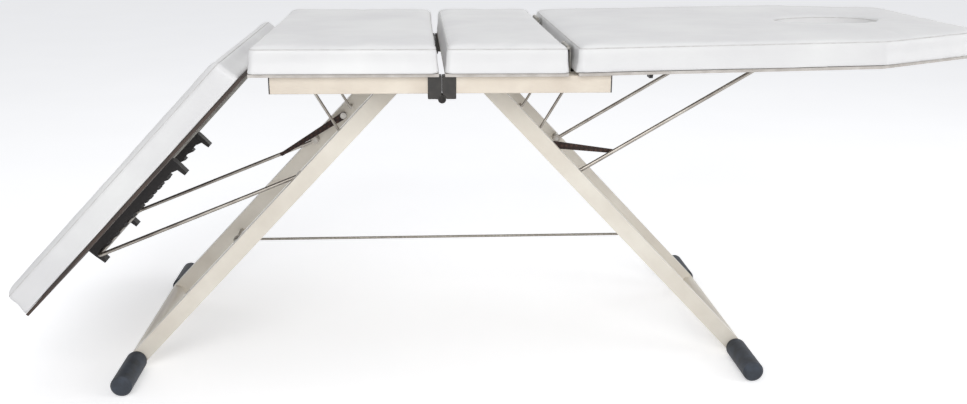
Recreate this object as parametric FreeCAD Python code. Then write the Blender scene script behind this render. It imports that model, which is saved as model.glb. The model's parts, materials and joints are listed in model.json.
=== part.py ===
import FreeCAD, Part

import math
import os

from FreeCAD import Matrix, Vector

# Folding massage table: four white pads on a two-part steel frame that folds in the middle.
# +X runs towards the head end, -Y is the side nearest the viewer, +Z is up, millimetres.
# Shapes are drawn about the centre hinge line and moved by row_shift when they are saved.
# A foot-side piece that matches a head-side one is the same shape turned half a turn about Z.

# Pads and boards
pad_width = 600.0
pad_thickness = 44.0
pad_edge_radius = 12.0
pad_corner_radius = 10.0
board_thickness = 5.0
board_inset = 6.0
board_underside_z = 541.0
centre_gap = 7.0
seat_length = 300.0
thigh_length = 198.5
leg_rest_length = 535.0
back_length = 715.0
rest_gap = 4.0
board_end_gap = 1.5

# Head end of the back
head_cut_length = 210.0
head_cut_width = 98.0
face_hole_length = 190.0
face_hole_width = 150.0
face_hole_from_head = 195.0

# Poses of the rests in the photograph
leg_rest_drop_deg = 46.5
back_rise_deg = 1.15
back_pin_height = 39.0

# Side rails and cross members
rail_outer_y = 284.0
rail_width = 20.0
rail_height = 28.0
rail_wall = 1.5
rail_end_x = 270.0
plug_flange = 2.0
cross_tube_size = 20.0
cross_tube_x = 38.0
cross_strip_width = 16.0
cross_strip_thickness = 4.0
cross_strip_x = 237.0

# Centre hinge
block_length = 22.5
block_depth = 24.0
block_gap = 0.8
fold_plane_z = 504.0
fold_plane_clearance = 0.5
eye_radius = 6.5
eye_clearance = 0.5
hinge_pin_radius = 3.0
hinge_pin_head_radius = 5.0
hinge_pin_head = 2.0
block_notch = 6.0
spigot_length = 30.0
running_clearance = 0.05

# Legs and feet
leg_pivot_x = 66.0
leg_pivot_z = 522.5
foot_axis_z = 18.0
leg_slope_deg = 46.6
leg_outer_y = 180.0
leg_thickness = 25.0
leg_width = 28.0
leg_wall = 1.5
axle_radius = 6.0
collar_radius = 11.0
collar_length = 8.0
foot_tube_radius = 14.0
foot_tube_wall = 2.0
foot_tube_end_y = 284.0
cap_radius = 18.0
cap_end_y = 290.0
cap_start_gap = 1.0
cap_end_chamfer = 4.0
cap_mouth_length = 4.0
cap_mouth_step = 1.2
leg_sleeve_wall = 3.0
spread_rod_radius = 4.0
spread_rod_along = 502.0
spread_rod_offset = -10.0

# Wire props that hold the rests
prop_wire_radius = 3.5
prop_pivot_along = 252.0
prop_pivot_offset = 7.0
prop_arm_y = 138.0
prop_bend_radius = 9.0
wire_end_y = 168.0
prop_pin_radius = 3.5
prop_eye_radius = 7.0
prop_eye_half = 3.8
prop_eye_play = 0.3
bush_radius = 7.5

# Toothed racks
rack_y = 108.0
rack_width = 20.0
rack_strip = 15.0
rack_tooth = 5.0
rack_pitch = 23.6
rack_flat = 12.0
rack_post_height = 35.5
rack_post_width = 9.0
rack_post_tip = 6.0
rack_rib = 3.0
leg_rack_end = 457.0
leg_rack_teeth = 9
back_rack_end = 366.0
back_rack_flat_end = 30.0
back_rack_teeth = 7
bar_end_gap = 1.5

# Stay wires between the legs and the frame
stay_wire_radius = 2.5
stay_y = 127.0
stay_along = 152.5
stay_top_x = 238.0
stay_top_z = 525.0
stay_bend_radius = 8.0
keeper_y = 90.0
keeper_width = 22.0
keeper_thickness = 2.5
keeper_gap = 0.5

# Elastic straps and the spread cable
strap_stud_along = 175.0
strap_stud_radius = 4.0
strap_y = 132.0
strap_thickness = 2.6
strap_width_stud = 14.0
strap_width_wire = 7.0
strap_along_prop = 72.0
stud_lip = 0.8
cable_radius = 2.5
cable_y = 95.0
cable_eye_wall = 3.0
cable_eye_width = 10.0

# Rest hinges
strap_hinge_width = 30.0
strap_hinge_thickness = 2.5
strap_hinge_length = 230.0
knuckle_radius = 4.5
knuckle_gap = 0.4
hinge_wire_radius = 2.0
seat_leaf_to_strip = 22.5
back_hinge_y = 215.0
back_hinge_width = 56.0
back_leaf_thickness = 1.6
back_knuckle_radius = 3.5
back_leaf_foot = 36.0
back_leaf_toe = 12.0
leaf_clearance = 0.3

# Derived places
leg_rise = leg_pivot_z - foot_axis_z
leg_length = leg_rise / math.sin(math.radians(leg_slope_deg))
leg_centre_y = leg_outer_y - leg_thickness / 2
leg_inner_y = leg_outer_y - leg_thickness
rail_inner_y = rail_outer_y - rail_width
rail_top_z = board_underside_z
rail_bottom_z = rail_top_z - rail_height
leg_hinge_x = centre_gap / 2 + seat_length + rest_gap
back_hinge_x = centre_gap / 2 + thigh_length + rest_gap
seat_leaf_length = leg_hinge_x - cross_strip_x - cross_strip_width / 2 - seat_leaf_to_strip
rest_thickness = board_thickness + pad_thickness
back_pin_z = board_underside_z + back_pin_height
bar_height = rack_strip + prop_wire_radius
leg_bar_along = leg_rack_end - prop_wire_radius - bar_end_gap
back_bar_along = back_rack_end - back_rack_flat_end / 2
leg_drop = math.radians(leg_rest_drop_deg)
foot_end_x = -(leg_hinge_x + (rest_gap + leg_rest_length) * math.cos(leg_drop)
               + rest_thickness * math.sin(leg_drop))
head_end_x = back_hinge_x + rest_gap + back_length
row_shift = Vector(-(foot_end_x + head_end_x) / 2, 0, 0)


# General shapes

def block(x0, x1, y0, y1, z0, z1):
    """A box between two corners."""
    return Part.makeBox(x1 - x0, y1 - y0, z1 - z0, Vector(x0, y0, z0))


def round_bar(x, z, y0, y1, radius):
    """A round bar along Y."""
    return Part.makeCylinder(radius, y1 - y0, Vector(x, y0, z), Vector(0, 1, 0))


def ring(x, z, y0, y1, outer, inner):
    """A sleeve along Y."""
    return round_bar(x, z, y0, y1, outer).cut(round_bar(x, z, y0 - 1, y1 + 1, inner))


def fused(shapes):
    """All the shapes as one solid."""
    whole = shapes[0]
    for shape in shapes[1:]:
        whole = whole.fuse(shape)
    return whole.removeSplitter()


def both_sides(shape):
    """The shape and its mirror image across the XZ plane, as one group of separate solids."""
    return Part.makeCompound([shape, mirrored(shape)])


def mirrored(shape):
    """The shape's mirror image across the XZ plane."""
    return shape.mirror(Vector(0, 0, 0), Vector(0, 1, 0))


def turned(shape):
    """The shape turned half a turn about the upright axis through the centre hinge."""
    copy = shape.copy()
    copy.rotate(Vector(0, 0, 0), Vector(0, 0, 1), 180)
    return copy


def swung(shape, x, z, degrees):
    """The shape turned about a line along Y, positive lifting its +X end."""
    copy = shape.copy()
    copy.rotate(Vector(x, 0, z), Vector(0, 1, 0), -degrees)
    return copy


def outline_prism(points, y0, y1):
    """A prism along Y over a polygon of (x, z) points."""
    corners = [Vector(x, y0, z) for x, z in points]
    face = Part.Face(Part.makePolygon(corners + corners[:1]))
    return face.extrude(Vector(0, y1 - y0, 0))


def save(name, shape):
    """Move a shape to the row's frame and write it as one sub-part."""
    placed = shape.copy()
    placed.translate(row_shift)
    placed.exportStep(os.path.join("parts", name + ".step"))


# Points on the head-side leg, in the XZ plane

def leg_point(along, offset=0.0):
    """A point at a distance along the leg from its pivot, offset towards the leg's upper side."""
    slope = math.radians(leg_slope_deg)
    x = leg_pivot_x + along * math.cos(slope) + offset * math.sin(slope)
    z = leg_pivot_z - along * math.sin(slope) + offset * math.cos(slope)
    return x, z


def leg_rest_point(along, below):
    """A point under the leg rest's board, on the +X side, in the pose of the photograph."""
    x = leg_hinge_x + along * math.cos(leg_drop) - below * math.sin(leg_drop)
    z = board_underside_z - along * math.sin(leg_drop) - below * math.cos(leg_drop)
    return x, z


def back_point(along, below):
    """A point under the back's board in the pose of the photograph."""
    rise = math.radians(back_rise_deg)
    drop = back_pin_height + below
    x = back_hinge_x + along * math.cos(rise) + drop * math.sin(rise)
    z = back_pin_z + along * math.sin(rise) - drop * math.cos(rise)
    return x, z


# Pads and boards

def slab(x0, x1, half_width, z0, z1):
    """A flat slab between two stations along the table."""
    return block(x0, x1, -half_width, half_width, z0, z1)


def softened(solid, top_z):
    """Round a pad's upright corners and then its whole top edge."""
    upright = [edge for edge in solid.Edges if abs(edge.tangentAt(edge.FirstParameter).z) > 0.99]
    rounded = solid.makeFillet(pad_corner_radius, upright)
    rim = [edge for edge in rounded.Edges if abs(edge.BoundBox.ZMin - top_z) < 0.01]
    return rounded.makeFillet(pad_edge_radius, rim)


def pad(x0, x1):
    """One upholstered pad: foam wrapped in vinyl over its board."""
    z0 = board_underside_z + board_thickness
    z1 = z0 + pad_thickness
    return softened(slab(x0, x1, pad_width / 2, z0, z1), z1)


def board(x0, x1):
    """The plywood board under a pad."""
    z0 = board_underside_z
    return slab(x0 + board_end_gap, x1 - board_end_gap, pad_width / 2 - board_inset,
                z0, z0 + board_thickness)


def head_outline(inset):
    """The back's plan from above: square at the hinge, with both head corners cut."""
    x0 = back_hinge_x + rest_gap + inset
    x1 = back_hinge_x + rest_gap + back_length - inset
    half = pad_width / 2 - inset
    end_half = half - head_cut_width
    cut_x = x1 - head_cut_length
    return [(x0, -half), (cut_x, -half), (x1, -end_half), (x1, end_half), (cut_x, half), (x0, half)]


def plan_prism(points, z0, z1):
    """A prism along Z over a polygon of (x, y) points."""
    corners = [Vector(x, y, z0) for x, y in points]
    face = Part.Face(Part.makePolygon(corners + corners[:1]))
    return face.extrude(Vector(0, 0, z1 - z0))


def face_hole(z0, z1, grow):
    """The oval breathing hole for the face, longer along the table than across it."""
    centre = Vector(back_hinge_x + rest_gap + back_length - face_hole_from_head, 0, z0)
    oval = Part.Ellipse(centre, face_hole_length / 2 + grow, face_hole_width / 2 + grow)
    wire = Part.Wire(oval.toShape())
    return Part.Face(wire).extrude(Vector(0, 0, z1 - z0))


def back_pad():
    """The long head pad with its cut corners and face hole."""
    z0 = board_underside_z + board_thickness
    z1 = z0 + pad_thickness
    body = softened(plan_prism(head_outline(0), z0, z1), z1)
    body = body.cut(face_hole(z0 - 1, z1 + 1, 0))
    return at_back_pose(body)


def back_board():
    """The board under the head pad, cut round the face hole with a small margin."""
    z0 = board_underside_z
    body = plan_prism(head_outline(board_inset), z0, z0 + board_thickness)
    return at_back_pose(body.cut(face_hole(z0 - 1, z0 + board_thickness + 1, board_inset)))


def at_back_pose(shape):
    """Lift a piece of the back, drawn flat, to its small rise in the photograph."""
    return swung(shape, back_hinge_x, back_pin_z, back_rise_deg)


def at_leg_pose(shape):
    """Drop a piece of the leg rest, drawn flat on the +X side, and turn it to the foot side."""
    return turned(swung(shape, leg_hinge_x, board_underside_z, -leg_rest_drop_deg))


# Frame halves, drawn for the head side

def rail_tube():
    """The far side rail: a rectangular steel tube, open at both ends."""
    outer = block(block_length, rail_end_x, rail_inner_y, rail_outer_y, rail_bottom_z, rail_top_z)
    bore = block(block_length - 1, rail_end_x + 1, rail_inner_y + rail_wall,
                 rail_outer_y - rail_wall, rail_bottom_z + rail_wall, rail_top_z - rail_wall)
    lengthwise = [edge for edge in outer.Edges if abs(edge.tangentAt(edge.FirstParameter).x) > 0.99]
    return outer.makeFillet(rail_wall, lengthwise).cut(bore)


def rail_plug():
    """The plastic plug that closes the far rail's outer end."""
    flange = block(rail_end_x, rail_end_x + plug_flange, rail_inner_y, rail_outer_y,
                   rail_bottom_z, rail_top_z)
    flange = flange.makeFillet(rail_wall, [edge for edge in flange.Edges
                                           if abs(edge.tangentAt(edge.FirstParameter).x) > 0.99])
    core = block(rail_end_x - spigot_length / 2, rail_end_x, rail_inner_y + rail_wall,
                 rail_outer_y - rail_wall, rail_bottom_z + rail_wall, rail_top_z - rail_wall)
    return flange.fuse(core)


def cross_tube():
    """The square tube that joins the two rails beside the centre hinge."""
    z1 = rail_top_z
    z0 = z1 - cross_tube_size
    half = cross_tube_size / 2
    outer = block(cross_tube_x - half, cross_tube_x + half, -rail_inner_y, rail_inner_y, z0, z1)
    bore = block(cross_tube_x - half + rail_wall, cross_tube_x + half - rail_wall,
                 -rail_inner_y - 1, rail_inner_y + 1, z0 + rail_wall, z1 - rail_wall)
    return outer.cut(bore)


def cross_strip():
    """The flat strip that joins the rails' outer ends above the folded legs."""
    half = cross_strip_width / 2
    return block(cross_strip_x - half, cross_strip_x + half, -rail_inner_y, rail_inner_y,
                 rail_top_z - cross_strip_thickness, rail_top_z)


def leg_axle():
    """The round bar between the rails, with two fixed collars that keep the leg pair centred."""
    bar = round_bar(leg_pivot_x, leg_pivot_z, -rail_inner_y, rail_inner_y, axle_radius)
    start = leg_outer_y + running_clearance * 4
    collar = round_bar(leg_pivot_x, leg_pivot_z, start, start + collar_length, collar_radius)
    return fused([bar, collar, mirrored(collar)])


def stay_hooks():
    """The two hooks welded under the cross strip that the stay wire's bar bears on."""
    reach = stay_wire_radius + keeper_gap
    wall_x1 = stay_top_x - reach
    wall_x0 = wall_x1 - keeper_thickness
    lip_z1 = stay_top_z - reach
    lip_z0 = lip_z1 - keeper_thickness
    y0 = keeper_y - keeper_width / 2
    y1 = keeper_y + keeper_width / 2
    wall = block(wall_x0, wall_x1, y0, y1, lip_z0, rail_top_z - cross_strip_thickness)
    lip = block(wall_x0, stay_top_x + stay_wire_radius, y0, y1, lip_z0, lip_z1)
    return both_sides(fused([wall, lip]))


# Centre hinge, drawn at the far rail

def hinge_spans():
    """The stations along Y of the hinge's three interleaved eyes."""
    y0 = rail_inner_y - (block_depth - rail_width) / 2
    step = block_depth / 3
    return [y0, y0 + step, y0 + 2 * step, y0 + 3 * step]


def hinge_half(own_eyes, other_eyes):
    """One plastic hinge block with its spigot in the rail, its eyes and its relief."""
    y = hinge_spans()
    face_x = block_gap / 2
    body = block(face_x, block_length, y[0], y[3], fold_plane_z + fold_plane_clearance, rail_top_z)
    upper = [edge for edge in body.Edges if edge.BoundBox.XMin > block_length - 0.01
             or edge.BoundBox.ZMin > rail_top_z - 0.01]
    body = body.makeChamfer(1.0, upper)
    notch = outline_prism([(face_x - 1, fold_plane_z - 1), (face_x + block_notch, fold_plane_z - 1),
                           (face_x - 1, fold_plane_z + 2 * block_notch)], y[0] - 1, y[3] + 1)
    body = body.cut(notch)
    inner = rail_wall + running_clearance
    spigot = block(block_length - 1, block_length + spigot_length, rail_inner_y + inner,
                   rail_outer_y - inner, rail_bottom_z + inner, rail_top_z - inner)
    body = body.fuse(spigot)
    for index in own_eyes:
        y0 = y[index] + (knuckle_gap / 2 if index else 0)
        y1 = y[index + 1] - (knuckle_gap / 2 if index < 2 else 0)
        body = body.fuse(round_bar(0, fold_plane_z, y0, y1, eye_radius))
        web = outline_prism([(0, fold_plane_z + eye_radius), (eye_radius, fold_plane_z),
                             (block_length / 2, fold_plane_z + fold_plane_clearance),
                             (block_length / 2, fold_plane_z + 3 * eye_radius)], y0, y1)
        body = body.fuse(web)
    for index in other_eyes:
        y0 = y[index] - (knuckle_gap / 2 if index else 1)
        y1 = y[index + 1] + (knuckle_gap / 2 if index < 2 else 1)
        body = body.cut(round_bar(0, fold_plane_z, y0, y1, eye_radius + eye_clearance))
    return body.removeSplitter()


def head_hinge_block():
    """The head-side block: one eye between the foot side's two."""
    half = hinge_half([1], [0, 2])
    y = hinge_spans()
    return half.cut(round_bar(0, fold_plane_z, y[0] - 1, y[3] + 1,
                              hinge_pin_radius + running_clearance))


def foot_hinge_block():
    """The foot-side block at the far rail, with the two outer eyes that hold the pin."""
    half = hinge_half([0, 2], [1])
    y = hinge_spans()
    half = half.cut(round_bar(0, fold_plane_z, y[0] - 1, y[3] + 1, hinge_pin_radius))
    return half.mirror(Vector(0, 0, 0), Vector(1, 0, 0))


def hinge_pins():
    """The two steel pins of the centre hinge, each with a head and a riveted end."""
    y = hinge_spans()
    pin = round_bar(0, fold_plane_z, y[0], y[3], hinge_pin_radius)
    head = round_bar(0, fold_plane_z, y[3], y[3] + hinge_pin_head, hinge_pin_head_radius)
    tail = round_bar(0, fold_plane_z, y[0] - hinge_pin_head, y[0], hinge_pin_head_radius)
    return both_sides(fused([pin, head, tail]))


# Legs, drawn for the head side

def along_leg(shape):
    """Lay a piece that was drawn along +X from the origin onto the head-side leg."""
    copy = shape.copy()
    copy.rotate(Vector(0, 0, 0), Vector(0, 1, 0), leg_slope_deg)
    copy.translate(Vector(leg_pivot_x, 0, leg_pivot_z))
    return copy


def leg_tube():
    """The far leg: a rectangular tube with a rounded top, welded to its foot tube."""
    half = leg_width / 2
    outer = block(0, leg_length, leg_inner_y, leg_outer_y, -half, half)
    outer = outer.fuse(round_bar(0, 0, leg_inner_y, leg_outer_y, half))
    bore = block(-half / 2, leg_length, leg_inner_y + leg_wall, leg_outer_y - leg_wall,
                 -half + leg_wall, half - leg_wall)
    tube = outer.cut(bore)
    tube = tube.cut(round_bar(0, 0, leg_inner_y - 1, leg_outer_y + 1,
                              axle_radius + running_clearance))
    tube = tube.cut(round_bar(leg_length, 0, leg_inner_y - 1, leg_outer_y + 1, foot_tube_radius))
    inner_wall = (leg_inner_y - 1, leg_inner_y + leg_wall + 1)
    tube = tube.cut(round_bar(prop_pivot_along, prop_pivot_offset, *inner_wall,
                              prop_pin_radius + running_clearance))
    tube = tube.cut(round_bar(stay_along, 0, *inner_wall, stay_wire_radius + running_clearance))
    return along_leg(largest(tube)).fuse(foot_tube()).removeSplitter()


def largest(shape):
    """The biggest solid of a shape, without the scraps that a cut leaves behind."""
    return max(shape.Solids, key=lambda solid: solid.Volume)


def leg_sleeve():
    """The sleeve on the axle that ties the two legs' tops together."""
    return ring(leg_pivot_x, leg_pivot_z, -leg_inner_y, leg_inner_y,
                axle_radius + leg_sleeve_wall, axle_radius + running_clearance)


def foot_tube():
    """The far foot tube, across the leg's lower end and out to the side."""
    x, z = leg_point(leg_length)
    return ring(x, z, leg_inner_y, foot_tube_end_y, foot_tube_radius,
                foot_tube_radius - foot_tube_wall)


def foot_cap():
    """The long rubber cap on the far foot tube."""
    x, z = leg_point(leg_length)
    y0 = leg_outer_y + cap_start_gap
    cap = round_bar(x, z, y0, cap_end_y, cap_radius)
    end_edge = [edge for edge in cap.Edges if abs(edge.BoundBox.YMin - cap_end_y) < 0.01]
    cap = cap.makeChamfer(cap_end_chamfer, end_edge)
    bore = round_bar(x, z, y0 - 1, foot_tube_end_y, foot_tube_radius)
    mouth = ring(x, z, y0, y0 + cap_mouth_length,
                 cap_radius + cap_mouth_step, cap_radius - cap_mouth_step)
    return cap.cut(bore).cut(mouth)


def spread_rod():
    """The rod between the two legs that the spread cable pulls on."""
    x, z = leg_point(spread_rod_along, spread_rod_offset)
    return round_bar(x, z, -leg_inner_y, leg_inner_y, spread_rod_radius)


# Bent wires: the props and the stays

def u_route(span_y, length):
    """The corners of a U along +X from the origin."""
    return [Vector(0, -span_y, 0), Vector(length, -span_y, 0), Vector(length, span_y, 0),
            Vector(0, span_y, 0)]


def bent_wire(route, radius, bend):
    """Round wire along a route, with its corners bent to one radius."""
    edges = []
    start = route[0]
    for before, corner, after in zip(route, route[1:], route[2:]):
        back = (before - corner).normalize() * bend
        ahead = (after - corner).normalize() * bend
        centre = corner + back + ahead
        middle = centre + (corner - centre).normalize() * bend
        edges.append(Part.LineSegment(start, corner + back).toShape())
        edges.append(Part.Arc(corner + back, middle, corner + ahead).toShape())
        start = corner + ahead
    edges.append(Part.LineSegment(start, route[-1]).toShape())
    circle = Part.Wire(Part.Circle(route[0], route[1] - route[0], radius).toShape())
    return Part.Wire(edges).makePipeShell([circle], True, False)


def laid_between(wire, start, end):
    """A piece drawn along +X from the origin, laid from start towards end."""
    slope = math.degrees(math.atan2(end[1] - start[1], end[0] - start[0]))
    wire.rotate(Vector(0, 0, 0), Vector(0, 1, 0), -slope)
    wire.translate(Vector(start[0], 0, start[1]))
    return wire


def distance(start, end):
    """The length between two (x, z) points."""
    return math.hypot(end[0] - start[0], end[1] - start[1])


def prop(bar_point):
    """The wire prop: a U whose bar lies in the racks, with a flattened eye on each arm's end."""
    pivot = leg_point(prop_pivot_along, prop_pivot_offset)
    wire = bent_wire(u_route(prop_arm_y, distance(pivot, bar_point)), prop_wire_radius,
                     prop_bend_radius)
    eye = round_bar(0, 0, prop_arm_y - prop_eye_half, prop_arm_y + prop_eye_half, prop_eye_radius)
    whole = wire.fuse(eye).fuse(mirrored(eye))
    for side in (-1, 1):
        whole = whole.cut(round_bar(0, 0, side * prop_arm_y - prop_eye_radius,
                                    side * prop_arm_y + prop_eye_radius,
                                    prop_pin_radius + running_clearance))
    return laid_between(whole.removeSplitter(), pivot, bar_point)


def prop_pins():
    """The shouldered pins that carry the prop's eyes on the legs."""
    x, z = leg_point(prop_pivot_along, prop_pivot_offset)
    eye_y0 = prop_arm_y - prop_eye_half
    eye_y1 = prop_arm_y + prop_eye_half + prop_eye_play
    shank = round_bar(x, z, eye_y0, wire_end_y, prop_pin_radius)
    shoulder = round_bar(x, z, eye_y1, leg_inner_y - prop_eye_play, bush_radius)
    return both_sides(fused([shank, shoulder]))


def stay():
    """The wire stay from the leg pair up to the hooks, its ends turned out into the legs."""
    start = leg_point(stay_along)
    end = (stay_top_x, stay_top_z)
    route = u_route(stay_y, distance(start, end))
    route = [Vector(0, -wire_end_y, 0)] + route + [Vector(0, wire_end_y, 0)]
    return laid_between(bent_wire(route, stay_wire_radius, stay_bend_radius), start, end)


# Elastic straps, drawn on the near side of the head-side legs

def strap_stud():
    """The headed stud on the near leg's inner face that the strap is looped on."""
    x, z = leg_point(strap_stud_along)
    inner = -(strap_y - strap_thickness / 2)
    stud = round_bar(x, z, -leg_inner_y, inner, strap_stud_radius)
    head = round_bar(x, z, inner, inner + stud_lip, strap_stud_radius * 1.6)
    return stud.fuse(head)


def strap(bar_point):
    """The elastic strap from its stud to the prop's near arm, wide at the stud."""
    pivot = leg_point(prop_pivot_along, prop_pivot_offset)
    length = math.hypot(bar_point[0] - pivot[0], bar_point[1] - pivot[1])
    share = strap_along_prop / length
    hook = (pivot[0] + (bar_point[0] - pivot[0]) * share, pivot[1] + (bar_point[1] - pivot[1]) * share)
    stud = leg_point(strap_stud_along)
    reach = math.hypot(hook[0] - stud[0], hook[1] - stud[1])
    slope = math.degrees(math.atan2(hook[1] - stud[1], hook[0] - stud[0]))
    y0 = -strap_y - strap_thickness / 2
    y1 = -strap_y + strap_thickness / 2
    wide = strap_width_stud / 2
    slim = strap_width_wire / 2
    web = outline_prism([(0, -wide), (reach, -slim), (reach, slim), (0, wide)], y0, y1)
    shape = web.fuse(round_bar(0, 0, y0, y1, wide)).fuse(round_bar(reach, 0, y0, y1, slim))
    shape = shape.cut(round_bar(0, 0, y0 - 1, y1 + 1, strap_stud_radius + running_clearance))
    shape = shape.removeSplitter()
    shape.rotate(Vector(0, 0, 0), Vector(0, 1, 0), -slope)
    shape.translate(Vector(stud[0], 0, stud[1]))
    return shape


def spread_cable():
    """The cable between the two spread rods, with an eye round each rod."""
    x, z = leg_point(spread_rod_along, spread_rod_offset)
    eye_outer = spread_rod_radius + cable_eye_wall
    half = cable_eye_width / 2
    bore = spread_rod_radius + running_clearance
    wire = Part.makeCylinder(cable_radius, 2 * x, Vector(-x, cable_y, z), Vector(1, 0, 0))
    shapes = [wire]
    for side in (-1, 1):
        shapes.append(round_bar(side * x, z, cable_y - half, cable_y + half, eye_outer))
    whole = fused(shapes)
    for side in (-1, 1):
        whole = whole.cut(round_bar(side * x, z, 0, 2 * cable_y, bore))
    return whole


# Racks, drawn flat under a board that starts at x = 0 and has its underside at z = 0

def rack(end, teeth, end_post, tail):
    """A moulded rack: a strip, a row of ramped teeth and a guard post at one or both ends."""
    first = end - tail - teeth * rack_pitch
    crest = -(rack_strip + rack_tooth)
    floor = -rack_strip
    post = -rack_post_height
    profile = [(first - rack_post_width, 0), (first - rack_post_width, floor),
               (first - (rack_post_width + rack_post_tip) / 2, post),
               (first - (rack_post_width - rack_post_tip) / 2, post), (first, crest)]
    for number in range(teeth):
        start = first + number * rack_pitch
        ramp = rack_pitch - rack_flat
        profile += [(start + ramp, floor), (start + rack_pitch, floor)]
        if number < teeth - 1 or tail:
            profile.append((start + rack_pitch, crest))
    if end_post:
        profile += [(end + (rack_post_width - rack_post_tip) / 2, post),
                    (end + (rack_post_width + rack_post_tip) / 2, post),
                    (end + rack_post_width, floor), (end + rack_post_width, 0)]
    else:
        profile += [(end - tail + 2 * rack_tooth, floor), (end, floor), (end, 0)]
    half = rack_width / 2
    whole = outline_prism(profile, rack_y - half, rack_y + half)
    return whole.cut(rack_hollows(first, end - tail))


def rack_hollows(first, last):
    """The moulding pockets in the rack's back, between its ribs."""
    half = rack_width / 2 - rack_rib
    pockets = []
    count = int((last - first) // rack_pitch)
    for number in range(count):
        x0 = first + number * rack_pitch + rack_rib / 2
        x1 = x0 + rack_pitch - rack_rib
        pockets.append(block(x0, x1, rack_y - half, rack_y + half, -rack_strip + rack_rib, 1))
    return Part.makeCompound(pockets)


def far_rack(end, teeth, end_post, tail, hinge_x):
    """A rack under the far half of a rest that is drawn flat."""
    shape = rack(end, teeth, end_post, tail)
    shape.translate(Vector(hinge_x, 0, board_underside_z))
    return shape


# Rest hinges

def leg_hinge_spans():
    """The stations along Y of the leg rest hinge's knuckles at the far rack."""
    y0 = rack_y - strap_hinge_width / 2
    step = strap_hinge_width / 3
    return [y0, y0 + step, y0 + 2 * step, y0 + 3 * step]


def strap_hinge(x_sign, start, length, knuckles, others):
    """One leaf of a leg rest hinge: a flat bar with rolled knuckles about the pin."""
    y = leg_hinge_spans()
    z0 = board_underside_z - strap_hinge_thickness
    near = leg_hinge_x + x_sign * start
    far = leg_hinge_x + x_sign * length
    z_axis = board_underside_z
    leaf = block(min(near, far), max(near, far), y[0], y[3], z0, z_axis)
    for index in knuckles:
        y0 = y[index] + (knuckle_gap / 2 if index else 0)
        y1 = y[index + 1] - (knuckle_gap / 2 if index < 2 else 0)
        roll = round_bar(leg_hinge_x, z_axis, y0, y1, knuckle_radius)
        end = leg_hinge_x + x_sign * (start + 1)
        lug = block(min(leg_hinge_x, end), max(leg_hinge_x, end), y0, y1,
                    z_axis - knuckle_radius, z_axis)
        leaf = leaf.fuse(roll).fuse(lug)
    for index in others:
        y0 = y[index] - (knuckle_gap / 2 if index else 1)
        y1 = y[index + 1] + (knuckle_gap / 2 if index < 2 else 1)
        leaf = leaf.cut(round_bar(leg_hinge_x, z_axis, y0, y1, knuckle_radius + knuckle_gap))
    return leaf.removeSplitter()


def leg_rest_straps():
    """The long leaves under the leg rest, one in line with each rack."""
    leaf = strap_hinge(1, knuckle_radius, strap_hinge_length, [1], [0, 2])
    y = leg_hinge_spans()
    leaf = leaf.cut(round_bar(leg_hinge_x, board_underside_z, y[0] - 1, y[3] + 1,
                              hinge_wire_radius + running_clearance))
    return at_leg_pose(both_sides(leaf))


def seat_leaves():
    """The short leaves under the seat board's foot end."""
    leaf = strap_hinge(-1, knuckle_radius, seat_leaf_length, [0, 2], [1])
    y = leg_hinge_spans()
    leaf = leaf.cut(round_bar(leg_hinge_x, board_underside_z, y[0] - 1, y[3] + 1,
                              hinge_wire_radius))
    return turned(both_sides(leaf))


def leg_rest_pins():
    """The pins of the leg rest hinges."""
    y = leg_hinge_spans()
    return turned(both_sides(round_bar(leg_hinge_x, board_underside_z, y[0], y[3],
                                       hinge_wire_radius)))


def back_hinge_spans():
    """The stations along Y of the back hinge's knuckles on the far side."""
    y0 = back_hinge_y - back_hinge_width / 2
    step = back_hinge_width / 3
    return [y0, y0 + step, y0 + 2 * step, y0 + 3 * step]


def back_leaf(x_sign, foot, knuckles, others):
    """One leaf of a back hinge: an upright plate in the gap between two pads, with a foot."""
    y = back_hinge_spans()
    wall_0 = rest_gap - leaf_clearance
    wall_1 = wall_0 - back_leaf_thickness
    x0 = back_hinge_x + x_sign * wall_0
    x1 = back_hinge_x + x_sign * wall_1
    top = back_pin_z
    bottom = board_underside_z - cross_strip_thickness
    leaf = block(min(x0, x1), max(x0, x1), y[0], y[3], bottom, top)
    end = back_hinge_x + x_sign * (wall_0 + foot)
    leaf = leaf.fuse(block(min(x1, end), max(x1, end), y[0], y[3], bottom, board_underside_z))
    for index in knuckles:
        y0 = y[index] + (knuckle_gap / 2 if index else 0)
        y1 = y[index + 1] - (knuckle_gap / 2 if index < 2 else 0)
        leaf = leaf.fuse(round_bar(back_hinge_x, top, y0, y1, back_knuckle_radius))
    for index in others:
        y0 = y[index] - (knuckle_gap / 2 if index else 1)
        y1 = y[index + 1] + (knuckle_gap / 2 if index < 2 else 1)
        leaf = leaf.cut(round_bar(back_hinge_x, top, y0, y1, back_knuckle_radius + knuckle_gap))
    return leaf.removeSplitter()


def thigh_leaves():
    """The fixed leaves of the back hinges, on the thigh pad's board."""
    leaf = back_leaf(-1, back_leaf_foot, [0, 2], [1])
    y = back_hinge_spans()
    leaf = leaf.cut(round_bar(back_hinge_x, back_pin_z, y[0] - 1, y[3] + 1, hinge_wire_radius))
    return both_sides(leaf)


def back_leaves():
    """The moving leaves of the back hinges, on the back's board."""
    leaf = back_leaf(1, back_leaf_toe, [1], [0, 2])
    y = back_hinge_spans()
    leaf = leaf.cut(round_bar(back_hinge_x, back_pin_z, y[0] - 1, y[3] + 1,
                              hinge_wire_radius + running_clearance))
    return at_back_pose(both_sides(leaf))


def back_pins():
    """The pins of the back hinges."""
    y = back_hinge_spans()
    return both_sides(round_bar(back_hinge_x, back_pin_z, y[0], y[3], hinge_wire_radius))


# Assembly

def save_pair(name, shape):
    """Save a far piece and its mirror image as two sub-parts."""
    save(name + "_far", shape)
    save(name + "_near", mirrored(shape))


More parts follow.
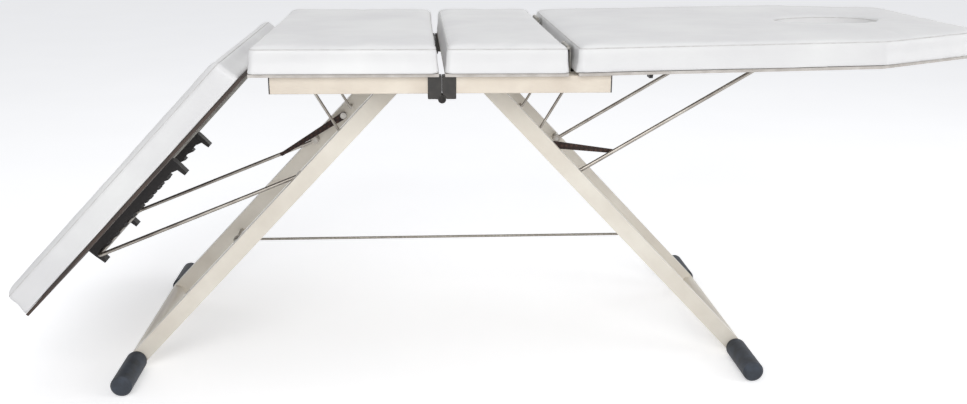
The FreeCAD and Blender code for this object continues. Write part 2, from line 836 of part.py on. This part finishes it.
def save_frame_half(side, place):
    """Save one half of the steel frame, head side as drawn or turned to the foot side."""
    far, near = ("_far", "_near") if side == "head" else ("_near", "_far")
    save(side + "_rail" + far, place(rail_tube()))
    save(side + "_rail" + near, place(mirrored(rail_tube())))
    save(side + "_rail_plugs", place(both_sides(rail_plug())))
    save(side + "_cross_tube", place(cross_tube()))
    save(side + "_cross_strip", place(cross_strip()))
    save(side + "_stay_hooks", place(stay_hooks()))
    save(side + "_leg_axle", place(leg_axle()))


def save_leg_pair(side, place):
    """Save one pair of legs with its feet, rod and stud."""
    far, near = ("_far", "_near") if side == "head" else ("_near", "_far")
    for name, shape in (("_leg", leg_tube()), ("_cap", foot_cap())):
        save(side + name + far, place(shape))
        save(side + name + near, place(mirrored(shape)))
    save(side + "_leg_sleeve", place(leg_sleeve()))
    save(side + "_spread_rod", place(spread_rod()))
    save(side + "_strap_stud", place(strap_stud()))
    save(side + "_prop_pins", place(prop_pins()))
    save(side + "_stay", place(stay()))


def same(shape):
    """The shape as drawn, on the head side."""
    return shape


def main():
    os.makedirs("parts", exist_ok=True)
    half_gap = centre_gap / 2
    save_frame_half("head", same)
    save_frame_half("foot", turned)
    save_pair("head_hinge_block", head_hinge_block())
    save_pair("foot_hinge_block", foot_hinge_block())
    save("centre_hinge_pins", hinge_pins())
    save_leg_pair("head", same)
    save_leg_pair("foot", turned)
    save("seat_pad", turned(pad(half_gap, half_gap + seat_length)))
    save("seat_board", turned(board(half_gap, half_gap + seat_length)))
    save("thigh_pad", pad(half_gap, half_gap + thigh_length))
    save("thigh_board", board(half_gap, half_gap + thigh_length))
    rest_x = leg_hinge_x + rest_gap
    save("leg_rest_pad", at_leg_pose(pad(rest_x, rest_x + leg_rest_length)))
    save("leg_rest_board", at_leg_pose(board(rest_x, rest_x + leg_rest_length)))
    save("back_pad", back_pad())
    save("back_board", back_board())
    leg_rack = far_rack(leg_rack_end, leg_rack_teeth, True, 0, leg_hinge_x)
    save("leg_rack_near", at_leg_pose(leg_rack))
    save("leg_rack_far", at_leg_pose(mirrored(leg_rack)))
    back_rack = far_rack(back_rack_end, back_rack_teeth, False, back_rack_flat_end, back_hinge_x)
    save("back_rack_far", at_back_pose(back_rack))
    save("back_rack_near", at_back_pose(mirrored(back_rack)))
    save("leg_rest_straps", leg_rest_straps())
    save("leg_rest_pins", leg_rest_pins())
    save("seat_leaves", seat_leaves())
    save("thigh_leaves", thigh_leaves())
    save("back_leaves", back_leaves())
    save("back_pins", back_pins())
    leg_bar = leg_rest_point(leg_bar_along, bar_height)
    back_bar = back_point(back_bar_along, bar_height)
    save("leg_prop", turned(prop(leg_bar)))
    save("back_prop", prop(back_bar))
    save("foot_strap", turned(strap(leg_bar)))
    save("head_strap", strap(back_bar))
    save("spread_cable", spread_cable())


main()
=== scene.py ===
import json
import math

import bmesh
import bpy
from mathutils import Matrix, Vector, noise


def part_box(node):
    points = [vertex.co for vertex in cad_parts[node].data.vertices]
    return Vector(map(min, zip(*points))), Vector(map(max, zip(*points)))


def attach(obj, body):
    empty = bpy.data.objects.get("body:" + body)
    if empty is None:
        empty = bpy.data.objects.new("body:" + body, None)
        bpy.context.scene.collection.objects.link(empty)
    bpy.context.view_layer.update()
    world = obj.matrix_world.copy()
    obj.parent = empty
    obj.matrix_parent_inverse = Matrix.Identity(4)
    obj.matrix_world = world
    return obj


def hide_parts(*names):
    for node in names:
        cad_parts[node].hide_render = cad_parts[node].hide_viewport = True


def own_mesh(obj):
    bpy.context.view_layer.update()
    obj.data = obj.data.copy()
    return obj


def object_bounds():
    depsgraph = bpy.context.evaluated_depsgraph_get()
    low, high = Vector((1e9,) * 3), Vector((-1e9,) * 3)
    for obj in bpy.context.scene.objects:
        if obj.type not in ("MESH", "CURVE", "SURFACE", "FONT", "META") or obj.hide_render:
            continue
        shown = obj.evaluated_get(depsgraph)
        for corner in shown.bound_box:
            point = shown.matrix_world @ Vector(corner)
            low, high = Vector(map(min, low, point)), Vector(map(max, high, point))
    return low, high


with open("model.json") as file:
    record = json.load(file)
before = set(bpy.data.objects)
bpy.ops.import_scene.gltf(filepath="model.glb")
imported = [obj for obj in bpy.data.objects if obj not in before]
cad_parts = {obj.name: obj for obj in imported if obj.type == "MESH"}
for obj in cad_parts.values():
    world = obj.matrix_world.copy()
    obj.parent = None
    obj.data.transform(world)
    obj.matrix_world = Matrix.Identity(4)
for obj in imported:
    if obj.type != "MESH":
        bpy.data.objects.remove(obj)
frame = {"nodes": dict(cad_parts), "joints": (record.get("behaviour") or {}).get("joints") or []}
cad_low, cad_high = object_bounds()
bpy.ops.object.select_all(action="DESELECT")


# Camera
# A standing viewer's eye a little left of the middle hinge, looking slightly down and to the
# right. Its height, turn and lens were found from the feet, the rails and the pads' corners.
pin_low, pin_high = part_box("centre_hinge_pins")
middle_x = (pin_low.x + pin_high.x) / 2
eye_left_of_hinge = 0.0422
eye_in_front = 1.892
eye_height = 0.8008
eye = Vector((middle_x - eye_left_of_hinge, -eye_in_front, eye_height))
turn_to_head = math.radians(3.886)
look_down = math.radians(16.18)
camera_roll = math.radians(0.382)
bpy.ops.object.camera_add(location=eye)
camera = bpy.context.object
aim = Matrix.Rotation(-turn_to_head, 4, "Z") @ Matrix.Rotation(math.pi / 2 - look_down, 4, "X")
aim = aim @ Matrix.Rotation(camera_roll, 4, "Z")
camera.rotation_euler = aim.to_euler()
camera.data.sensor_width = 36.0
camera.data.lens = 38.1
camera.data.clip_start = 0.05
camera.data.clip_end = 60.0
bpy.context.scene.camera = camera
bpy.context.scene.view_settings.view_transform = "Standard"


# Material helpers: a colour from its sRGB hex value, and one node with its settings and links.
def colour(hex_value):
    """An sRGB hex colour as linear red, green, blue and alpha."""
    channels = [int(hex_value[i:i + 2], 16) / 255 for i in (1, 3, 5)]
    return [c / 12.92 if c <= 0.04045 else ((c + 0.055) / 1.055) ** 2.4 for c in channels] + [1.0]


def add(tree, kind, settings=None, **inputs):
    """One shader node, with its own settings and each input set or linked by its name."""
    made = tree.nodes.new(kind)
    for key, value in (settings or {}).items():
        setattr(made, key, value)
    for key, value in inputs.items():
        socket = made.inputs[int(key[1:])] if key[1:].isdigit() else made.inputs[key.replace("_", " ")]
        if isinstance(value, bpy.types.NodeSocket):
            tree.links.new(value, socket)
        else:
            socket.default_value = value
    return made


def blank(name):
    """An empty node material with its output node."""
    material = bpy.data.materials.new(name)
    material.use_nodes = True
    material.node_tree.nodes.clear()
    return material, material.node_tree, material.node_tree.nodes.new("ShaderNodeOutputMaterial")


roughness_spread = 0.06


def coated(name, light, dark, mottle_mm, roughness, grain_mm, grain_depth_mm, metallic=0.0,
           coat=0.0, stretch=(1.0, 1.0, 1.0)):
    """A finish with a soft change of colour across mottle_mm and a fine relief across grain_mm."""
    material, tree, out = blank(name)
    place = add(tree, "ShaderNodeTexCoord").outputs["Object"]
    place = add(tree, "ShaderNodeMapping", Vector=place, Scale=stretch).outputs["Vector"]
    mottle = add(tree, "ShaderNodeTexNoise", Vector=place, Scale=1000.0 / mottle_mm, Detail=4.0)
    ramp = add(tree, "ShaderNodeValToRGB", Fac=mottle.outputs["Fac"])
    ramp.color_ramp.elements[0].position = 0.3
    ramp.color_ramp.elements[0].color = colour(dark)
    ramp.color_ramp.elements[1].position = 0.7
    ramp.color_ramp.elements[1].color = colour(light)
    grain = add(tree, "ShaderNodeTexNoise", Vector=place, Scale=1000.0 / grain_mm, Detail=3.0)
    rough = add(tree, "ShaderNodeMapRange", Value=mottle.outputs["Fac"],
                To_Min=roughness - roughness_spread, To_Max=roughness + roughness_spread)
    bump = add(tree, "ShaderNodeBump", Height=grain.outputs["Fac"], Strength=0.6,
               Distance=grain_depth_mm / 1000.0)
    shader = add(tree, "ShaderNodeBsdfPrincipled", Base_Color=ramp.outputs["Color"],
                 Roughness=rough.outputs["Result"], Metallic=metallic, Coat_Weight=coat,
                 Normal=bump.outputs["Normal"])
    tree.links.new(shader.outputs["BSDF"], out.inputs["Surface"])
    return material


def dress(names, material):
    """Give CAD nodes a finish."""
    for name in names:
        mesh = frame["nodes"][name].data
        mesh.materials.clear()
        mesh.materials.append(material)


def settle(piece, body, slot, *nodes):
    """Bake a piece's place into its mesh, hang it on its body and hide the CAD nodes it stands for. Its
    slot is not used.
    """
    bpy.ops.object.select_all(action="DESELECT")
    piece.select_set(True)
    bpy.context.view_layer.objects.active = piece
    bpy.ops.object.transform_apply(location=True, rotation=True, scale=True)
    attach(piece, body)
    if nodes:
        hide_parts(*nodes)
    piece.select_set(False)


# Stage
# A seamless pale studio floor that runs to a white surround, with a soft shadow under the table.
# Where the camera or a reflection sees the floor, a faint glow lifts it to the surround's white.
floor_size = 40.0
floor_below_feet = 0.0005
floor_glow = 0.42
ambient_strength = 0.42
bpy.ops.mesh.primitive_plane_add(size=floor_size, location=(0, 0, cad_low.z - floor_below_feet))
floor = bpy.context.object
floor.name = "studio_floor"
floor_finish, tree, out = blank("matte_white_studio_floor")
path = add(tree, "ShaderNodeLightPath")
speckle = add(tree, "ShaderNodeTexNoise", Vector=add(tree, "ShaderNodeTexCoord").outputs["Object"],
              Scale=3.0)
shade = add(tree, "ShaderNodeMix", {"data_type": "RGBA"}, Factor=speckle.outputs["Fac"],
            _6=colour("#F7F7F7"), _7=colour("#FDFDFD"))
matte = add(tree, "ShaderNodeBsdfDiffuse", Color=shade.outputs[2])
glow = add(tree, "ShaderNodeEmission", Color=colour("#FFFFFF"), Strength=floor_glow)
seen = add(tree, "ShaderNodeMath", {"operation": "MAXIMUM"}, _0=path.outputs["Is Camera Ray"],
           _1=path.outputs["Is Glossy Ray"])
dark = add(tree, "ShaderNodeEmission", Strength=0.0)
lift = add(tree, "ShaderNodeMixShader", Fac=seen.outputs[0], _1=dark.outputs[0], _2=glow.outputs[0])
both = add(tree, "ShaderNodeAddShader", _0=matte.outputs[0], _1=lift.outputs[0])
tree.links.new(both.outputs[0], out.inputs["Surface"])
floor.data.materials.append(floor_finish)

world = bpy.data.worlds.new("white_surround")
bpy.context.scene.world = world
world.use_nodes = True
tree = world.node_tree
tree.nodes.clear()
out = tree.nodes.new("ShaderNodeOutputWorld")
path = add(tree, "ShaderNodeLightPath")
seen = add(tree, "ShaderNodeMath", {"operation": "MAXIMUM"}, _0=path.outputs["Is Camera Ray"],
           _1=path.outputs["Is Glossy Ray"])
seen = add(tree, "ShaderNodeMath", {"operation": "MAXIMUM"}, _0=seen.outputs[0],
           _1=path.outputs["Is Transmission Ray"])
backdrop = add(tree, "ShaderNodeBackground", Color=colour("#FFFFFF"), Strength=1.0)
ambient = add(tree, "ShaderNodeBackground", Color=colour("#F7F9FF"), Strength=ambient_strength)
chosen = add(tree, "ShaderNodeMixShader", Fac=seen.outputs[0], _1=ambient.outputs[0],
             _2=backdrop.outputs[0])
tree.links.new(chosen.outputs[0], out.inputs["Surface"])


def lamp(name, place, target, size, watts):
    """A square soft box of a size in metres at a place, aimed at a target."""
    bpy.ops.object.light_add(type="AREA", location=place)
    light = bpy.context.object
    light.name = name
    light.data.size = size
    light.data.energy = watts
    light.rotation_euler = (Vector(target) - Vector(place)).to_track_quat("-Z", "Y").to_euler()


lamp("front_softbox", (-0.6, -3.2, 1.9), (0, 0, 0.35), 2.2, 58.0)
lamp("overhead_softbox", (0.5, 0.6, 3.4), (0, 0, 0.4), 2.6, 20.0)
lamp("head_softbox", (3.2, -1.4, 1.3), (0, 0, 0.4), 1.6, 22.0)


# Upholstered pads
# Each pad is a foam block under a stretched white vinyl cover, drawn down over its board. The
# cover swells a little between its edges and has a stitched seam just under its top edge.
pebble_mm = 2.2


def vinyl(name):
    """Soft white PVC leathercloth: a low sheen, a fine pebble grain and faint soft undulations."""
    material, tree, out = blank(name)
    place = add(tree, "ShaderNodeTexCoord").outputs["Object"]
    cloud = add(tree, "ShaderNodeTexNoise", Vector=place, Scale=7.0, Detail=3.0)
    ramp = add(tree, "ShaderNodeValToRGB", Fac=cloud.outputs["Fac"])
    ramp.color_ramp.elements[0].color = colour("#DEDDDD")
    ramp.color_ramp.elements[0].position = 0.3
    ramp.color_ramp.elements[1].color = colour("#EBEBE9")
    ramp.color_ramp.elements[1].position = 0.75
    pebble = add(tree, "ShaderNodeTexVoronoi", Vector=place, Scale=1000.0 / pebble_mm)
    waves = add(tree, "ShaderNodeTexNoise", Vector=place, Scale=14.0, Detail=2.0)
    soft = add(tree, "ShaderNodeBump", Height=waves.outputs["Fac"], Strength=0.35, Distance=0.004)
    bump = add(tree, "ShaderNodeBump", Height=pebble.outputs["Distance"], Strength=0.25,
               Distance=0.0002, Normal=soft.outputs["Normal"])
    shader = add(tree, "ShaderNodeBsdfPrincipled", Base_Color=ramp.outputs["Color"], Roughness=0.42,
                 IOR=1.5, Sheen_Weight=0.05, Normal=bump.outputs["Normal"])
    tree.links.new(shader.outputs["BSDF"], out.inputs["Surface"])
    return material


cover = vinyl("white_pvc_leathercloth")
# The seam cord is a darker grey than the cover vinyl. This is painted shade, standing in for the shadow
# in the seam's groove.
seam_painted_groove_shade = coated("stitched_seam_painted_groove_shade", "#D9D8D6", "#C6C4C1", 12.0, 0.55, 1.2, 0.1)
joint_travel = {joint["name"]: math.radians(joint["range_deg"][1]) for joint in frame["joints"]}
back_lean = math.radians(1.15)
weld_distance = 0.00005
pad_shrink = 0.0012
pad_voxel = 0.006
back_pad_voxel = 0.007
cover_swell = 0.0042
cover_pressure = 4.0
cover_steps = 20
stapled_height = 0.003
stapled_fade = 0.014
creases_per_metre = 38.0
crease_height = 0.0007
seam_below_top = 0.0095
seam_radius = 0.0009


def pad_copy(node, name, voxel):
    """A closed even mesh over a CAD pad, a little smaller than the pad."""
    piece = bpy.data.objects.new(name, frame["nodes"][node].data.copy())
    bpy.context.scene.collection.objects.link(piece)
    bpy.ops.object.select_all(action="DESELECT")
    piece.select_set(True)
    bpy.context.view_layer.objects.active = piece
    bpy.ops.object.mode_set(mode="EDIT")
    bpy.ops.mesh.select_all(action="SELECT")
    bpy.ops.mesh.remove_doubles(threshold=weld_distance)
    bpy.ops.mesh.normals_make_consistent(inside=False)
    bpy.ops.transform.shrink_fatten(value=-pad_shrink)
    bpy.ops.object.mode_set(mode="OBJECT")
    piece.data.remesh_voxel_size = voxel
    bpy.ops.object.voxel_remesh()
    return piece


def swell(piece, up):
    """Blow the cover up with air pressure, keep its underside flat and limit how far it moves."""
    rest = [v.co.copy() for v in piece.data.vertices]
    cloth = piece.modifiers.new("cover_tension", "CLOTH")
    cloth.settings.use_pressure = True
    cloth.settings.uniform_pressure_force = cover_pressure
    cloth.settings.effector_weights.gravity = 0.0
    cloth.settings.quality = 4
    scene = bpy.context.scene
    for step in range(1, cover_steps + 1):
        scene.frame_set(step)
    shape = piece.evaluated_get(bpy.context.evaluated_depsgraph_get()).to_mesh()
    puffed = [v.co.copy() for v in shape.vertices]
    piece.modifiers.remove(cloth)
    scene.frame_set(1)
    foot = min(point.dot(up) for point in rest)
    for vertex, start, end in zip(piece.data.vertices, rest, puffed):
        move = end - start
        if move.length > cover_swell:
            move = move.normalized() * cover_swell
        rise = min(1.0, max(0.0, (start.dot(up) - foot - stapled_height) / stapled_fade))
        crease = noise.noise(start * creases_per_metre) * crease_height * rise
        vertex.co = start + (move + move.normalized() * crease) * rise if move.length else start


def seam_round(pad, up, name):
    """The seam's cord, cut from the cover's own surface at one height."""
    top = max(v.co.dot(up) for v in pad.data.vertices)
    ring = bpy.data.objects.new(name, pad.data.copy())
    bpy.context.scene.collection.objects.link(ring)
    cut = bmesh.new()
    cut.from_mesh(ring.data)
    every = cut.verts[:] + cut.edges[:] + cut.faces[:]
    made = bmesh.ops.bisect_plane(cut, geom=every, plane_co=up * (top - seam_below_top), plane_no=up)
    kept = {g for g in made["geom_cut"] if isinstance(g, bmesh.types.BMEdge)}
    bmesh.ops.delete(cut, geom=[f for f in cut.faces], context="FACES_ONLY")
    bmesh.ops.delete(cut, geom=[e for e in cut.edges if e not in kept], context="EDGES")
    bmesh.ops.delete(cut, geom=[v for v in cut.verts if not v.link_edges], context="VERTS")
    cut.to_mesh(ring.data)
    cut.free()
    bpy.ops.object.select_all(action="DESELECT")
    ring.select_set(True)
    bpy.context.view_layer.objects.active = ring
    bpy.ops.object.convert(target="CURVE")
    ring = bpy.context.object
    ring.data.bevel_depth = seam_radius
    ring.data.bevel_resolution = 1
    bpy.ops.object.convert(target="MESH")
    ring = bpy.context.object
    bpy.ops.object.shade_smooth()
    ring.data.materials.clear()
    ring.data.materials.append(seam_painted_groove_shade)
    return ring


def upholster(node, body, lean=0.0, voxel=pad_voxel):
    """One finished pad with its seam. Its top leans back by an angle from level."""
    up = Vector((-math.sin(lean), 0, math.cos(lean)))
    piece = pad_copy(node, node + "_cover", voxel)
    swell(piece, up)
    bpy.context.view_layer.objects.active = piece
    piece.select_set(True)
    finer = piece.modifiers.new("cover_smoothing", "SUBSURF")
    finer.levels = 1
    finer.render_levels = 1
    bpy.ops.object.modifier_apply(modifier=finer.name)
    bpy.ops.object.shade_smooth()
    piece.data.materials.clear()
    piece.data.materials.append(cover)
    seam = seam_round(piece, up, node + "_seam")
    settle(piece, body, "vinyl", node)
    settle(seam, body, "vinyl")


upholster("seat_pad", "foot_frame")
upholster("thigh_pad", "head_frame")
upholster("leg_rest_pad", "leg_rest", joint_travel["leg_rest_lift"])
upholster("back_pad", "back", back_lean, back_pad_voxel)


# Pad boards
# Plywood boards under the pads. The cover is drawn round and stapled under the lying boards,
# so their edges are vinyl too. The leg rest's board is faced with a dark brown sealed veneer.
turned_cover = coated("vinyl_drawn_round_board", "#CDC8C2", "#B4AEA7", 20.0, 0.5, 2.2, 0.15)
dark_veneer = coated("sealed_brown_veneer", "#4A3B32", "#2E2520", 40.0, 0.6, 1.5, 0.15,
                     stretch=(0.15, 1.0, 1.0))
dress(["seat_board", "thigh_board", "back_board"], turned_cover)
dress(["leg_rest_board"], dark_veneer)


# Steel frame
# Rectangular and square steel tube, welded and coated in satin cream enamel. The film is
# slightly uneven, which breaks up the long highlights.
frame_enamel = coated("cream_enamel_on_rails", "#E9DFCF", "#D9CDBD", 60.0, 0.42, 3.0, 0.08, coat=0.2)
leg_enamel = coated("cream_enamel_on_legs", "#EDE7DA", "#DDD5C7", 80.0, 0.40, 3.0, 0.08, coat=0.2)
for side in ("foot", "head"):
    dress([side + "_rail_far", side + "_rail_near", side + "_cross_tube", side + "_cross_strip",
           side + "_stay_hooks"], frame_enamel)
    dress([side + "_leg_far", side + "_leg_near", side + "_leg_sleeve"], leg_enamel)


# Foot tubes
# A round tube of 28 mm joins the two feet of each leg pair. The CAD legs hold its outer ends,
# and the stretch between the legs is drawn here.
foot_tube_radius = 0.014
foot_tube_sides = 64
smooth_below = math.radians(40)


def foot_tube_between(side):
    """The foot tube's stretch from one leg's inner face to the other's, on the caps' centre line."""
    cap_low, cap_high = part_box(side + "_cap_far")
    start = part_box(side + "_leg_near")[1].y
    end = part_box(side + "_leg_far")[0].y
    centre = Vector(((cap_low.x + cap_high.x) / 2, (start + end) / 2, (cap_low.z + cap_high.z) / 2))
    bpy.ops.mesh.primitive_cylinder_add(vertices=foot_tube_sides, radius=foot_tube_radius,
                                        depth=end - start, location=centre,
                                        rotation=(math.pi / 2, 0, 0))
    tube = bpy.context.object
    tube.name = side + "_foot_tube_between_legs"
    tube.data.materials.append(leg_enamel)
    bpy.ops.object.shade_smooth_by_angle(angle=smooth_below)
    settle(tube, side + "_legs", "leg_paint")


for side in ("foot", "head"):
    foot_tube_between(side)


# Turned steel
# Axles, spread rods, studs and hinge pins are turned from bright mild steel bar. Fine turning
# marks run round them and the surface is a little dulled by oil.
bright_bar = coated("turned_mild_steel", "#BDBAB5", "#96928C", 25.0, 0.34, 0.8, 0.04, metallic=1.0)
dress(["foot_leg_axle", "head_leg_axle", "foot_spread_rod", "head_spread_rod", "foot_strap_stud",
       "head_strap_stud", "foot_prop_pins", "head_prop_pins", "leg_rest_pins", "back_pins"], bright_bar)
black_oxide = coated("blackened_steel_pin", "#3A3836", "#232221", 12.0, 0.4, 0.8, 0.04, metallic=0.8)
dress(["centre_hinge_pins"], black_oxide)


# Wire props and stays
# Cold drawn steel wire, bent cold and zinc plated. It is a soft grey with a bright streak
# where the light runs along it.
drawn_wire = coated("zinc_plated_wire", "#B5B0A8", "#8C857E", 30.0, 0.36, 0.9, 0.05, metallic=0.9)
dress(["leg_prop", "back_prop", "foot_stay", "head_stay"], drawn_wire)


# Rest hinges
# Pressed steel leaves with rolled knuckles, zinc plated. The passivated plating has a soft
# mottled bloom.
zinc_plate = coated("zinc_plated_leaf", "#A9A7A0", "#7F7C76", 9.0, 0.45, 2.0, 0.06, metallic=0.9)
dress(["seat_leaves", "leg_rest_straps", "thigh_leaves", "back_leaves"], zinc_plate)


# Moulded parts
# Hinge blocks, racks and rail plugs are injection moulded in dark nylon. The mould's
# spark finish leaves an even matte surface that pales a little on worn faces.
block_nylon = coated("nylon_hinge_block", "#35322E", "#211F1D", 18.0, 0.5, 0.9, 0.1)
rack_nylon = coated("nylon_rack", "#2A2625", "#1A1718", 14.0, 0.48, 0.9, 0.1)
plug_nylon = coated("nylon_plug", "#3A3734", "#262422", 10.0, 0.55, 0.9, 0.1)
dress(["foot_hinge_block_far", "foot_hinge_block_near", "head_hinge_block_far",
       "head_hinge_block_near"], block_nylon)
dress(["leg_rack_near", "leg_rack_far", "back_rack_near", "back_rack_far"], rack_nylon)
dress(["foot_rail_plugs", "head_rail_plugs"], plug_nylon)


# Foot caps
# Long rubber sleeves pushed over the foot tubes. Moulded rubber with a faint grey bloom and a
# rough mould skin.
cap_rubber = coated("moulded_rubber_cap", "#3B424D", "#23262B", 22.0, 0.62, 1.4, 0.25)
dress(["foot_cap_far", "foot_cap_near", "head_cap_far", "head_cap_near"], cap_rubber)


# Elastic straps
# Flat woven elastic bands from a stud on the leg to the prop's arm, which pull the prop towards
# the leg. Dark brown covered rubber threads lie side by side along the band. The wave texture
# repeats 20 times in each unit of its scale.
thread_pitch_mm = 1.4
threads_scale = 1000.0 / thread_pitch_mm / 20.0


def woven_elastic():
    """Covered rubber threads, drawn far enough apart that the ribs can be seen."""
    material, tree, out = blank("woven_brown_elastic")
    place = add(tree, "ShaderNodeTexCoord").outputs["Object"]
    ribs = add(tree, "ShaderNodeTexWave", {"bands_direction": "Z"}, Vector=place,
               Scale=threads_scale, Distortion=0.6)
    picks = add(tree, "ShaderNodeTexWave", {"bands_direction": "X"}, Vector=place,
                Scale=threads_scale, Distortion=0.6)
    weave = add(tree, "ShaderNodeMath", {"operation": "MULTIPLY"}, _0=ribs.outputs["Fac"],
                _1=picks.outputs["Fac"])
    ramp = add(tree, "ShaderNodeValToRGB", Fac=weave.outputs[0])
    ramp.color_ramp.elements[0].color = colour("#241611")
    ramp.color_ramp.elements[1].color = colour("#4A3128")
    bump = add(tree, "ShaderNodeBump", Height=weave.outputs[0], Strength=0.7, Distance=0.0005)
    shader = add(tree, "ShaderNodeBsdfPrincipled", Base_Color=ramp.outputs["Color"], Roughness=0.8,
                 Sheen_Weight=0.2, Normal=bump.outputs["Normal"])
    tree.links.new(shader.outputs["BSDF"], out.inputs["Surface"])
    return material


elastic = woven_elastic()


copy_weld_distance = 0.00002
soft_edge = 0.0005


def copy_of(node, name, material):
    """A merged, softly bevelled copy of a CAD node, as a piece of its own."""
    piece = bpy.data.objects.new(name, frame["nodes"][node].data.copy())
    bpy.context.scene.collection.objects.link(piece)
    bpy.ops.object.select_all(action="DESELECT")
    piece.select_set(True)
    bpy.context.view_layer.objects.active = piece
    bpy.ops.object.mode_set(mode="EDIT")
    bpy.ops.mesh.select_all(action="SELECT")
    bpy.ops.mesh.remove_doubles(threshold=copy_weld_distance)
    bpy.ops.object.mode_set(mode="OBJECT")
    edge = piece.modifiers.new("soft_edge", "BEVEL")
    edge.width = soft_edge
    edge.segments = 2
    edge.limit_method = "ANGLE"
    bpy.ops.object.modifier_apply(modifier=edge.name)
    bpy.ops.object.shade_smooth_by_angle(angle=smooth_below)
    piece.data.materials.clear()
    piece.data.materials.append(material)
    return piece


foot_band = copy_of("foot_strap", "foot_elastic_strap", elastic)
settle(foot_band, "foot_strap", "elastic", "foot_strap")
head_band = copy_of("head_strap", "head_elastic_strap", elastic)
settle(head_band, "head_strap", "elastic", "head_strap")
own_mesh(head_band)


# Spread cable
# Twisted steel wire rope between the two spread rods, with an eye crimped round each rod. It is
# taut while the table stands and slackens as the table folds.
wire_rope = coated("twisted_wire_rope", "#A8A39A", "#6E6A63", 3.0, 0.45, 1.2, 0.3, metallic=0.9)
cable = copy_of("spread_cable", "spread_wire_rope", wire_rope)
settle(cable, "spread_cable", "cable", "spread_cable")
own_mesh(cable)
